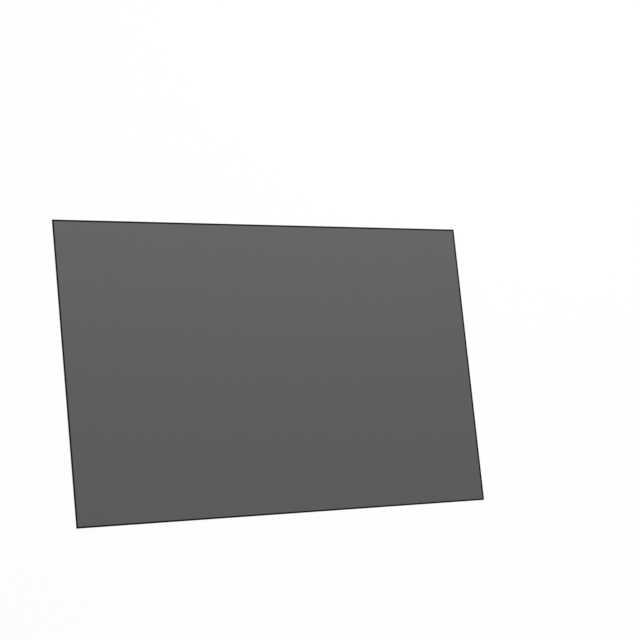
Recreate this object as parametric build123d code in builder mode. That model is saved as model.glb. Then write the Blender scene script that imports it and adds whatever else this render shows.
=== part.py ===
# Laptop privacy filter: one flat sheet of tinted film in the 16-inch, 16:10 size.
# It lies on its rear face, with its width along X, its height along Y and its front face up.

from build123d import *
import os

# Driving dimensions, in millimetres
sheet_width = 344.0
sheet_height = 215.0
sheet_thickness = 0.5  # the whole bonded laminate
corner_radius = 0.5  # at each corner of the outline, as the cutting die leaves it
edge_round = 0.1  # along the cut edge, at the front and the rear face

# Film sheet
with BuildPart() as filter_sheet:
    with BuildSketch(Plane.XY) as sheet_outline:
        RectangleRounded(sheet_width, sheet_height, corner_radius)
    extrude(amount=sheet_thickness)
    front_and_rear = filter_sheet.faces().filter_by(Axis.Z)
    fillet(front_and_rear.edges(), radius=edge_round)

filter_sheet.part.label = "filter_sheet"

os.makedirs("parts", exist_ok=True)
export_step(filter_sheet.part, "parts/filter_sheet.step")
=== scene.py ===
import math

import bpy
from mathutils import Matrix, Vector


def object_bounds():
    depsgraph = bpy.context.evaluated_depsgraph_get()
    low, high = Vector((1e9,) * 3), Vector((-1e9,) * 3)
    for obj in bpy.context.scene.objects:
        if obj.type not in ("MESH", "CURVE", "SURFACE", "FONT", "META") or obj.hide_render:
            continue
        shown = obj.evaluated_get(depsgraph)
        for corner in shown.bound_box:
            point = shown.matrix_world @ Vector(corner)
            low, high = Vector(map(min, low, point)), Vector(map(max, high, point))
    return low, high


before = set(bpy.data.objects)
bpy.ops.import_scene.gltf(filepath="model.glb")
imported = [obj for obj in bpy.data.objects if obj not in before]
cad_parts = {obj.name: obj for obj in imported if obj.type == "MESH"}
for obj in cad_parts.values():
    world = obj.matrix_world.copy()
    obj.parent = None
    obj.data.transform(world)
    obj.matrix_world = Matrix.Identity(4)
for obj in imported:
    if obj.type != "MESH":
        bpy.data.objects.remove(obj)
cadLow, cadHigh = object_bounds()
sheetSize = cadHigh - cadLow
sheetMiddle = (cadLow + cadHigh) / 2
scene = bpy.context.scene
print("frame loaded, sheet in mm:", [round(1000 * side, 2) for side in sheetSize])


def addNode(tree, kind, values=None, **settings):  # values go to input sockets, settings to the node
    node = tree.nodes.new(kind)
    for name, value in settings.items():
        setattr(node, name, value)
    for name, value in (values or {}).items():
        if isinstance(value, bpy.types.NodeSocket):
            tree.links.new(value, node.inputs[name])
        else:
            node.inputs[name].default_value = value
    return node


def addMath(tree, operation, first, second=0.0):
    return addNode(tree, "ShaderNodeMath", {0: first, 1: second}, operation=operation).outputs[0]


mixSockets = {"FLOAT": (2, 3, 0), "RGBA": (6, 7, 2)}  # a Mix node's two inputs and its output, by data type


def addMix(tree, kind, factor, first, second):
    firstInput, secondInput, result = mixSockets[kind]
    values = {0: factor, firstInput: first, secondInput: second}
    return addNode(tree, "ShaderNodeMix", values, data_type=kind).outputs[result]


def spread(tree, value, low, high):  # a value from 0 to 1, spread from low to high
    values = {"Value": value, "To Min": low, "To Max": high}
    return addNode(tree, "ShaderNodeMapRange", values).outputs["Result"]


def newMaterial(name):
    material = bpy.data.materials.new(name)
    material.use_nodes = True
    material.node_tree.nodes.clear()
    return material


def grey(level):
    return (level, level, level, 1.0)


# Tinted film: satin faces over a dark louvred core, a black line along the outline and a paler cut edge
film = {  # lengths are in metres
    "ink": 0.004,  # grey of the tint itself
    "solid": 0.897,  # share of the light that the front face stops
    "rearSolid": 0.12,  # the same for the clear rear cover
    "roughness": 0.38,  # anti-glare coating
    "roughnessSpread": 0.03,
    "shine": 0.145,
    "louvrePitch": 0.00013,
    "louvreDepth": 0.024,  # how far the louvres vary the tint
    "streakWidth": 0.004,
    "streakLength": 0.25,
    "streakDepth": 0.0065,  # how far the streaks vary the tint
    "streakDetail": 3.0,
    "grainSize": 0.00018,
    "grainHeight": 0.000003,
    "grainDetail": 2.0,
    "cornerRadius": 0.0005,
    "lineWidth": 0.00115,  # black line along the outline
    "lineSoftness": 0.0001,
    "lineRoughness": 0.6,
    "lineShine": 0.03,
    "cutWidth": 0.0001,  # the cut edge comes this far round onto the faces
    "cutGrey": 0.2,
}


def fromOutline(tree, xyz):  # distance inwards from the sheet's rounded outline
    past = []  # how far a place lies past the straight part of each side
    for axis in (0, 1):
        offset = addMath(tree, "SUBTRACT", xyz[axis], sheetMiddle[axis])
        straight = sheetSize[axis] / 2 - film["cornerRadius"]
        past.append(addMath(tree, "SUBTRACT", addMath(tree, "ABSOLUTE", offset), straight))
    corner = addNode(tree, "ShaderNodeCombineXYZ", {
        0: addMath(tree, "MAXIMUM", past[0], 0.0),
        1: addMath(tree, "MAXIMUM", past[1], 0.0),
    }).outputs[0]
    outside = addNode(tree, "ShaderNodeVectorMath", {0: corner}, operation="LENGTH").outputs["Value"]
    inside = addMath(tree, "MINIMUM", addMath(tree, "MAXIMUM", *past), 0.0)
    return addMath(tree, "SUBTRACT", film["cornerRadius"], addMath(tree, "ADD", outside, inside))


def within(tree, distance, width, softness):  # 1 up to the width, 0 beyond it
    return addNode(tree, "ShaderNodeMapRange", {
        "Value": distance,
        "From Min": width - softness,
        "From Max": width + softness,
        "To Min": 1.0,
        "To Max": 0.0,
    }, interpolation_type="SMOOTHSTEP").outputs["Result"]


def addStreaks(tree, place):  # faint upright streaks, from 0 to 1
    stretched = addNode(tree, "ShaderNodeMapping", {
        "Vector": place,
        "Scale": (1 / film["streakWidth"], 1 / film["streakLength"], 1.0),
    }).outputs[0]
    values = {"Vector": stretched, "Scale": 1.0, "Detail": film["streakDetail"]}
    return addNode(tree, "ShaderNodeTexNoise", values).outputs["Fac"]


def addTint(tree, place, streaks):  # share of the light that is stopped, with louvre lines and streaks
    bandGap = math.tau / 20  # between the bands of a wave texture at scale 1
    louvres = addNode(tree, "ShaderNodeTexWave", {
        "Vector": place,
        "Scale": bandGap / film["louvrePitch"],
    }, wave_type="BANDS", bands_direction="X").outputs["Fac"]
    lowest = film["solid"] - (film["louvreDepth"] + film["streakDepth"]) / 2
    lined = spread(tree, louvres, lowest, lowest + film["louvreDepth"])
    return addMath(tree, "ADD", lined, addMath(tree, "MULTIPLY", streaks, film["streakDepth"]))


def addGrain(tree, place):  # normal of the anti-glare coating
    values = {"Vector": place, "Scale": 1 / film["grainSize"], "Detail": film["grainDetail"]}
    grain = addNode(tree, "ShaderNodeTexNoise", values).outputs["Fac"]
    return addNode(tree, "ShaderNodeBump", {"Height": grain, "Distance": film["grainHeight"]}).outputs[0]


def makeFilm():
    material = newMaterial("tintedFilm")
    tree = material.node_tree
    place = addNode(tree, "ShaderNodeTexCoord").outputs["Object"]
    xyz = addNode(tree, "ShaderNodeSeparateXYZ", {0: place}).outputs
    streaks = addStreaks(tree, place)
    satin = addGrain(tree, place)

    onFront = addMath(tree, "GREATER_THAN", xyz[2], sheetMiddle.z)
    alpha = addMix(tree, "FLOAT", onFront, film["rearSolid"], addTint(tree, place, streaks))
    smoothest = film["roughness"] - film["roughnessSpread"]
    roughest = film["roughness"] + film["roughnessSpread"]
    face = addNode(tree, "ShaderNodeBsdfPrincipled", {
        "Base Color": grey(film["ink"]),
        "Alpha": alpha,
        "Roughness": spread(tree, streaks, smoothest, roughest),
        "Specular IOR Level": film["shine"],
        "Normal": satin,
    })

    distance = fromOutline(tree, xyz)
    line = within(tree, distance, film["lineWidth"], film["lineSoftness"])
    cut = within(tree, distance, film["cutWidth"] / 2, film["cutWidth"] / 2)
    edge = addNode(tree, "ShaderNodeBsdfPrincipled", {
        "Base Color": addMix(tree, "RGBA", cut, grey(film["ink"]), grey(film["cutGrey"])),
        "Roughness": film["lineRoughness"],
        "Specular IOR Level": film["lineShine"],
        "Normal": satin,
    })
    whole = addNode(tree, "ShaderNodeMixShader", {0: line, 1: face.outputs[0], 2: edge.outputs[0]})
    addNode(tree, "ShaderNodeOutputMaterial", {"Surface": whole.outputs[0]})
    return material


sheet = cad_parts["filter_sheet"]
sheet.data.materials.clear()
sheet.data.materials.append(makeFilm())
print("film made:", sheet.name)


# White floor: glows for the eye and for reflections, and keeps a share of real light for shadows
floor = {
    "size": 40.0,
    "drop": 0.0002,  # below the sheet, so that no two faces coincide
    "glow": 0.95,
    "white": 0.9,
}


# 1 for rays from the eye, from a gloss or through glass, 0 for the rays that carry light
def seenWhite(tree):
    path = addNode(tree, "ShaderNodeLightPath").outputs
    glossy = addMath(tree, "MAXIMUM", path["Is Camera Ray"], path["Is Glossy Ray"])
    return addMath(tree, "MAXIMUM", glossy, path["Is Transmission Ray"])


def makeFloor():
    material = newMaterial("whiteFloor")
    tree = material.node_tree
    glow = addNode(tree, "ShaderNodeEmission", {"Color": grey(1.0), "Strength": 1.0})
    paper = addNode(tree, "ShaderNodeBsdfDiffuse", {"Color": grey(floor["white"])})
    share = addMath(tree, "MULTIPLY", seenWhite(tree), floor["glow"])
    both = addNode(tree, "ShaderNodeMixShader", {0: share, 1: paper.outputs[0], 2: glow.outputs[0]})
    addNode(tree, "ShaderNodeOutputMaterial", {"Surface": both.outputs[0]})
    bpy.ops.mesh.primitive_plane_add(size=floor["size"], location=(0, 0, cadLow.z - floor["drop"]))
    plane = bpy.context.object
    plane.name = "floor"
    plane.data.materials.append(material)


makeFloor()
print("floor laid")


# Soft studio light: one long softbox behind the top edge, and an even room
light = {
    "place": (0.34, 0.42, 0.68),
    "aim": (0.34, 0.0, 0.0),
    "size": (1.3, 0.5),
    "power": 9.5,
    "room": 0.2,
}


def makeLight():
    lamp = bpy.data.lights.new("softbox", "AREA")
    lamp.shape = "RECTANGLE"
    lamp.size, lamp.size_y = light["size"]
    lamp.energy = light["power"]
    holder = bpy.data.objects.new("softbox", lamp)
    holder.location = light["place"]
    away = Vector(light["aim"]) - holder.location
    holder.rotation_euler = away.to_track_quat("-Z", "Y").to_euler()
    holder.visible_camera = False
    scene.collection.objects.link(holder)


def makeRoom():
    world = bpy.data.worlds.new("room")
    world.use_nodes = True
    tree = world.node_tree
    tree.nodes.clear()
    strength = spread(tree, seenWhite(tree), light["room"], 1.0)
    sky = addNode(tree, "ShaderNodeBackground", {"Color": grey(1.0), "Strength": strength})
    addNode(tree, "ShaderNodeOutputWorld", {"Surface": sky.outputs[0]})
    scene.world = world


makeLight()
makeRoom()
print("light set")


# Camera: above and to the left of the lying sheet, with the sheet's height up the picture
camera = {
    "place": (-0.6880, -0.1728, 1.1560),
    "aim": (0.0388, 0.0352, 0.0005),
    "roll": -5.78,  # degrees
    "lens": 103.58,
    "sensor": 36.0,
    "clip": (0.01, 100.0),
}


def makeCamera():
    data = bpy.data.cameras.new("camera")
    data.lens = camera["lens"]
    data.sensor_width = camera["sensor"]
    data.clip_start, data.clip_end = camera["clip"]
    place = Vector(camera["place"])
    back = (place - Vector(camera["aim"])).normalized()
    right = Vector((0, 1, 0)).cross(back).normalized()
    level = Matrix((right, back.cross(right), back)).transposed()
    rolled = level @ Matrix.Rotation(math.radians(camera["roll"]), 3, "Z")
    holder = bpy.data.objects.new("camera", data)
    holder.matrix_world = Matrix.Translation(place) @ rolled.to_4x4()
    scene.collection.objects.link(holder)
    scene.camera = holder


makeCamera()
scene.view_settings.view_transform = "Standard"
print("camera placed")
